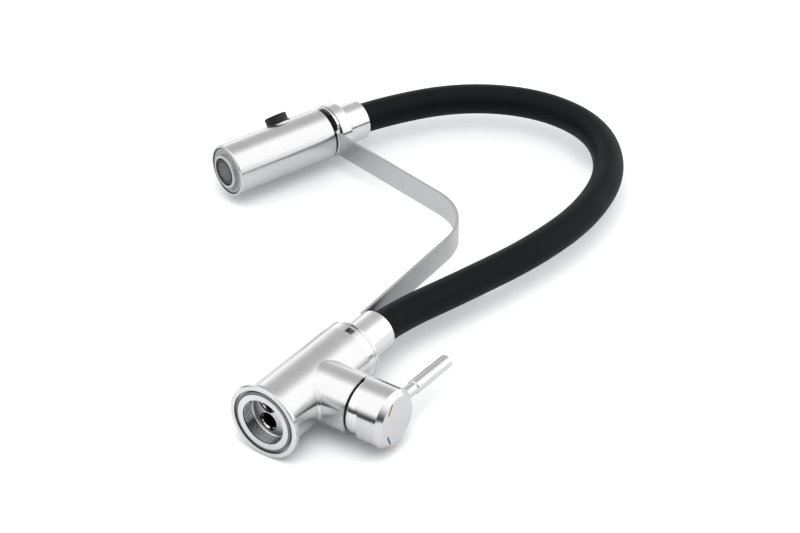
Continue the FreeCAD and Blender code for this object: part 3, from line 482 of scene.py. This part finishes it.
# painted light where the head docks: shade on the fork's front, reflection rings, highlights on rim and
# fold
painted_dock_shade = (0.13, 0.13, 0.13)
painted_ring_reflection = (0.45, 0.45, 0.45)
painted_dock_highlight = (0.96, 0.96, 0.96)
dock_painted_light = [(0.0, 0.0172, *dock_front, painted_dock_shade, 0.35)]               # painted shade on the fork's front
dock_painted_light += [(inner, inner + 0.0003, *dock_front, painted_ring_reflection, 0.3)      # three painted reflection rings on it
               for inner in (0.0136, 0.0150, 0.0164)]
dock_painted_light += [(0.0174, 0.0212, 0.08885, 0.0906, painted_dock_highlight, 0.22),     # painted highlight on its rim
               (0.0140, 0.0212, 0.0852, 0.0888, painted_dock_highlight, 0.22)]      # painted highlight on its fold


def strip_steel():
    """Steel brushed along the strip, with painted shade, painted reflection rings and painted highlights
    where the head docks.
    """
    material, tree, output = new_tree("strip_steel")
    coords = add(tree, "ShaderNodeTexCoord").outputs["Object"]
    surface = shaded(tree, grain_of(tree, coords, strip_grain), strip_colour, strip_rough)
    zoned(tree, surface, own_axis(tree, head_place, head_lean), dock_painted_light)
    tree.links.new(surface.outputs[0], output.inputs["Surface"])
    return material


dress(strip_steel(), "arm_strip")


# Hose: a smooth black rubber sleeve over a close-wound steel coil, with the water hose inside.
# It bends in one long arch from the lower ferrule to the upper one. Route points in the plane of
# the spout, metres.
route_order = 3
route_resolution = 24
hose_points = [(0, 0.109), (0, 0.13765), (0.0181, 0.19955), (0.0340, 0.26235), (0.0384, 0.32505),
               (0.02295, 0.3845), (-0.01795, 0.4269), (-0.0746, 0.4336), (-0.1284, 0.4057),
               (-0.16566, 0.34891), (-0.17333, 0.32412)]
sleeve_radius = 0.0111
sleeve_bore = 0.0083
coil_radius = 0.0072
coil_wire = 0.00075
coil_turns = 190
coil_steps = 14              # steps in each turn of the wire
wire_sides = 6
water_radius = 0.0062
water_bore = 0.0043
sleeve_mesh = (64, 360)      # sides and steps of each tube
water_mesh = (24, 160)
hose_colour = (0.0022, 0.0028, 0.0046, 1.0)
hose_rough = 0.52
hose_gloss = 0.16
rubber_lines = 9.0           # how close the drawn lines stand round the hose
rubber_line_step = 14.0      # and how soon they change along it


def new_group(name, sockets):
    """A geometry node group with named inputs; returns it with its group input and output."""
    group = bpy.data.node_groups.new(name, "GeometryNodeTree")
    group.interface.new_socket("Geometry", in_out="INPUT", socket_type="NodeSocketGeometry")
    for label, kind in sockets:
        group.interface.new_socket(label, in_out="INPUT", socket_type="NodeSocket" + kind)
    group.interface.new_socket("Geometry", in_out="OUTPUT", socket_type="NodeSocketGeometry")
    return group, add(group, "NodeGroupInput").outputs, add(group, "NodeGroupOutput").inputs


def grown(name, source, group, values, wall=0.0):
    """The mesh that a node group makes of an object, given a wall inwards, as a plain new object."""
    scene.collection.objects.link(source)
    modifier = source.modifiers.new("grow", "NODES")
    modifier.node_group = group
    for socket in group.interface.items_tree:
        if socket.in_out == "INPUT" and socket.name in values:
            modifier[socket.identifier] = values[socket.name]
    if wall:
        thick = source.modifiers.new("wall", "SOLIDIFY")
        thick.thickness = wall
        thick.offset = -1.0
        thick.use_even_offset = True
    evaluated = source.evaluated_get(bpy.context.evaluated_depsgraph_get())
    mesh = bpy.data.meshes.new_from_object(evaluated)
    mesh.name = name
    source.modifiers.clear()
    bpy.data.objects.remove(source)
    made = bpy.data.objects.new(name, mesh)
    scene.collection.objects.link(made)
    return made


def end_group(group, geometry, finish, made):
    """The group's last steps: real geometry with its material."""
    real = add(group, "GeometryNodeRealizeInstances", {"Geometry": geometry})
    dressed = add(group, "GeometryNodeSetMaterial", {"Geometry": real.outputs[0], "Material": finish})
    group.links.new(dressed.outputs[0], made["Geometry"])
    return group


def route():
    """The middle line of the hose as a smooth curve object."""
    curve = bpy.data.curves.new("route", "CURVE")
    curve.dimensions = "3D"
    spline = curve.splines.new("NURBS")
    spline.points.add(len(hose_points) - 1)
    for point, (x, z) in zip(spline.points, hose_points):
        point.co = (x, 0, z, 1)
    spline.order_u = route_order
    spline.use_endpoint_u = True
    spline.resolution_u = route_resolution
    return bpy.data.objects.new("route", curve)


def tube_group():
    """A round tube along a curve, with its length and its girth as UV."""
    group, given, made = new_group("tube", [("Radius", "Float"), ("Sides", "Int"), ("Steps", "Int"),
                                            ("Material", "Material")])
    even = add(group, "GeometryNodeResampleCurve", {"Curve": given["Geometry"], "Count": given["Steps"]})
    along = add(group, "GeometryNodeSplineParameter").outputs["Length"]
    kept = add(group, "GeometryNodeCaptureAttribute", {"Geometry": even.outputs[0]})
    kept.capture_items.new("FLOAT", "along")
    group.links.new(along, kept.inputs["along"])
    circle = add(group, "GeometryNodeCurvePrimitiveCircle", {"Radius": given["Radius"],
                                                             "Resolution": given["Sides"]})
    girth = add(group, "GeometryNodeCaptureAttribute", {"Geometry": circle.outputs[0]})
    girth.capture_items.new("FLOAT", "girth")
    group.links.new(add(group, "GeometryNodeSplineParameter").outputs["Factor"], girth.inputs["girth"])
    skin = add(group, "GeometryNodeCurveToMesh", {"Curve": kept.outputs[0],
                                                  "Profile Curve": girth.outputs[0],
                                                  "Fill Caps": False})
    flat = add(group, "ShaderNodeCombineXYZ", {0: girth.outputs["girth"], 1: kept.outputs["along"]})
    stored = add(group, "GeometryNodeStoreNamedAttribute",
                 {"Geometry": skin.outputs[0], "Name": "UVMap", "Value": flat.outputs[0]},
                 data_type="FLOAT2", domain="CORNER")
    smooth = add(group, "GeometryNodeSetShadeSmooth", {"Geometry": stored.outputs[0]})
    return end_group(group, smooth.outputs[0], given["Material"], made)


def coil_group():
    """A wire wound about a curve that lies in the XZ plane."""
    group, given, made = new_group("coil", [("Radius", "Float"), ("Wire", "Float"), ("Turns", "Int"),
                                            ("Turn Steps", "Int"), ("Wire Sides", "Int"),
                                            ("Material", "Material")])
    even = add(group, "GeometryNodeResampleCurve", {"Curve": given["Geometry"],
                                                    "Count": times(group, given["Turns"],
                                                                   given["Turn Steps"])})
    part = add(group, "GeometryNodeSplineParameter").outputs["Factor"]
    angle = times(group, times(group, part, given["Turns"]), math.tau)
    ahead = add(group, "GeometryNodeInputTangent").outputs[0]
    inward = add(group, "ShaderNodeVectorMath", {0: ahead, 1: (0, 1, 0)},
                 operation="CROSS_PRODUCT").outputs[0]
    across = scaled(group, inward, worked(group, "SINE", angle))
    out = scaled(group, (0, 1, 0), worked(group, "COSINE", angle))
    both = add(group, "ShaderNodeVectorMath", {0: across, 1: out}, operation="ADD").outputs[0]
    wound = add(group, "GeometryNodeSetPosition", {"Geometry": even.outputs[0],
                                                   "Offset": scaled(group, both, given["Radius"])})
    section = add(group, "GeometryNodeCurvePrimitiveCircle", {"Radius": given["Wire"],
                                                              "Resolution": given["Wire Sides"]})
    skin = add(group, "GeometryNodeCurveToMesh", {"Curve": wound.outputs[0],
                                                  "Profile Curve": section.outputs[0], "Fill Caps": True})
    smooth = add(group, "GeometryNodeSetShadeSmooth", {"Geometry": skin.outputs[0]})
    return end_group(group, smooth.outputs[0], given["Material"], made)


def extruded_rubber():
    """Matt black rubber with faint lines drawn along the hose, laid out by girth and length."""
    material, tree, output = new_tree("hose_rubber")
    place = add(tree, "ShaderNodeUVMap", uv_map="UVMap").outputs[0]
    parts = add(tree, "ShaderNodeSeparateXYZ", {0: place}).outputs
    angle = times(tree, parts["X"], math.tau)
    wrapped = add(tree, "ShaderNodeCombineXYZ", {0: worked(tree, "SINE", angle),
                                                 1: worked(tree, "COSINE", angle),
                                                 2: times(tree, parts["Y"], rubber_line_step)}).outputs[0]
    lines = add(tree, "ShaderNodeTexNoise", {"Vector": wrapped, "Scale": rubber_lines, "Detail": 5.0,
                                             "Roughness": 0.7}).outputs["Fac"]
    surface = shaded(tree, lines, hose_colour, hose_rough, spread=0.12, tint=0.5, smear=0.08, lines=0.3,
                     metal=0.0)
    surface.inputs["Specular IOR Level"].default_value = hose_gloss
    tree.links.new(surface.outputs[0], output.inputs["Surface"])
    return material


hose_rubber = extruded_rubber()
coil_steel = plain("coil_steel", drawn_colour, 0.3, metal=1.0)
tube = tube_group()
sleeve = grown("hose_sleeve_skin", route(), tube,
               {"Radius": sleeve_radius, "Sides": sleeve_mesh[0], "Steps": sleeve_mesh[1],
                "Material": hose_rubber}, sleeve_radius - sleeve_bore)
inner = grown("water_hose_skin", route(), tube,
              {"Radius": water_radius, "Sides": water_mesh[0], "Steps": water_mesh[1],
               "Material": seal_rubber}, water_radius - water_bore)
coil = grown("support_coil", route(), coil_group(),
             {"Radius": coil_radius, "Wire": coil_wire, "Turns": coil_turns, "Turn Steps": coil_steps,
              "Wire Sides": wire_sides, "Material": coil_steel})
for skin, node in ((sleeve, "hose_sleeve"), (inner, "water_hose"), (coil, "support_spring")):
    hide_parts(node)
    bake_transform(skin)


# Spray face: a light grey plastic plate with a ring of rubber jets, round a satin steel aerator
# ring with a painted highlight in its bore. Its insert, snapped into the ring, is a grey moulding
# with slats, painted shade between and round them, a ring of light studs near its rim whose white
# is a painted glint, and a pin in the middle.
plate_colour = (0.70, 0.72, 0.74, 1.0)
insert_colour = (0.34, 0.34, 0.35, 1.0)
insert_gloss = 0.15
# painted glint: the studs' white stands in for glints on the insert
glint_white = (0.90, 0.90, 0.90, 1.0)
jet_colour = (0.06, 0.06, 0.065, 1.0)
satin_colour = (0.68, 0.68, 0.69, 1.0)
satin_stretch = 0.4
painted_bore_highlight = (0.92, 0.92, 0.92)
insert_low = -0.0019
insert_painted_shade = [(0.0, 0.0106, -0.0016, 0.0, painted_deep_shade, 0.5),            # painted shade between the slats
                (0.0076, 0.0106, -0.0020, -0.0010, painted_deep_shade, 0.5)]     # painted shade round the slats
plate_painted_shade = [(0.0, 0.0180, 0.00075, 0.0060, painted_deep_shade, black_rough),   # painted shade behind the plate's face
              (0.01668, 0.0174, 0.0, 0.0060, painted_deep_shade, black_rough)]   # a painted shade line round its edge
# painted highlight in the aerator ring's bore
ring_bore_highlight = [(0.0, 0.01058, -0.0021, 0.0070, painted_bore_highlight, 0.2)]
stud_count = 24
stud_circle = 0.0088
stud_radius = 0.00036
pin_radius = 0.00075
jet_count = 26
jet_circle = 0.0144
jet_radius = 0.00058
plate_low = 0.0006
disc_sides = 12
disc_thick = 0.00008
head_turn = Matrix.Rotation(head_lean[1], 4, "Y")
head_frame = Matrix.Translation(head_place) @ head_turn

dress(plain("face_plastic", plate_colour, 0.38, place=head_place, turn=head_lean, zones=plate_painted_shade),
      "nozzle_plate")
dress(plain("guide_plastic", rubber_colour, 0.45), "water_guide")
dress(plain("insert_plastic", insert_colour, 0.42, place=head_place, turn=head_lean, zones=insert_painted_shade,
            Specular_IOR_Level=insert_gloss), "aerator_mesh")
dress(brushed("aerator_steel", head_place, head_lean, satin_colour, 0.34, satin_stretch, zones=ring_bore_highlight),
      "aerator_ring")


def studs_group():
    """Small flat discs in a ring, given as points of a circle."""
    group, given, made = new_group("studs", [("Circle", "Float"), ("Count", "Int"), ("Radius", "Float"),
                                             ("Depth", "Float"), ("Sides", "Int"),
                                             ("Material", "Material")])
    number = add(group, "GeometryNodeInputIndex").outputs[0]
    angle = times(group, worked(group, "DIVIDE", number, given["Count"]), math.tau)
    out = add(group, "ShaderNodeCombineXYZ", {0: worked(group, "COSINE", angle),
                                              1: worked(group, "SINE", angle)}).outputs[0]
    points = add(group, "GeometryNodePoints", {"Count": given["Count"],
                                               "Position": scaled(group, out, given["Circle"])})
    disc = add(group, "GeometryNodeMeshCylinder", {"Vertices": given["Sides"], "Radius": given["Radius"],
                                                   "Depth": given["Depth"]}).outputs["Mesh"]
    placed = add(group, "GeometryNodeInstanceOnPoints", {"Points": points.outputs[0], "Instance": disc})
    return end_group(group, placed.outputs[0], given["Material"], made)


studs = studs_group()
jet_rubber = plain("jet_rubber", jet_colour, 0.5)
# the studs' and the pin's white, a painted glint
glint_stud_plastic = plain("glint_stud_plastic", glint_white, 0.35)
for name, level, circle, count, radius, finish in (
        ("insert_studs", insert_low, stud_circle, stud_count, stud_radius, glint_stud_plastic),
        ("insert_pin", insert_low, 0.0, 1, pin_radius, glint_stud_plastic),
        ("jet_mouths", plate_low, jet_circle, jet_count, jet_radius, jet_rubber)):
    blank = bpy.data.objects.new(name + "_blank", bpy.data.meshes.new(name + "_blank"))
    made = grown(name, blank, studs, {"Circle": circle, "Count": count, "Radius": radius,
                                      "Depth": disc_thick, "Sides": disc_sides, "Material": finish})
    made.data.transform(head_frame @ Matrix.Translation((0, 0, level)))
    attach(made, "head")


# Diverter knob: black moulded plastic, fluted round its rim, pressed on the spindle that turns
# the water from spray to stream. Its flared foot, in the same plastic, sits on the head's boss.
knob_colour = (0.008, 0.008, 0.009, 1.0)
knob_rough = 0.26
knob_gloss = 0.45
dress(plain("knob_plastic", knob_colour, knob_rough, Specular_IOR_Level=knob_gloss), "diverter_knob",
      "knob_skirt")
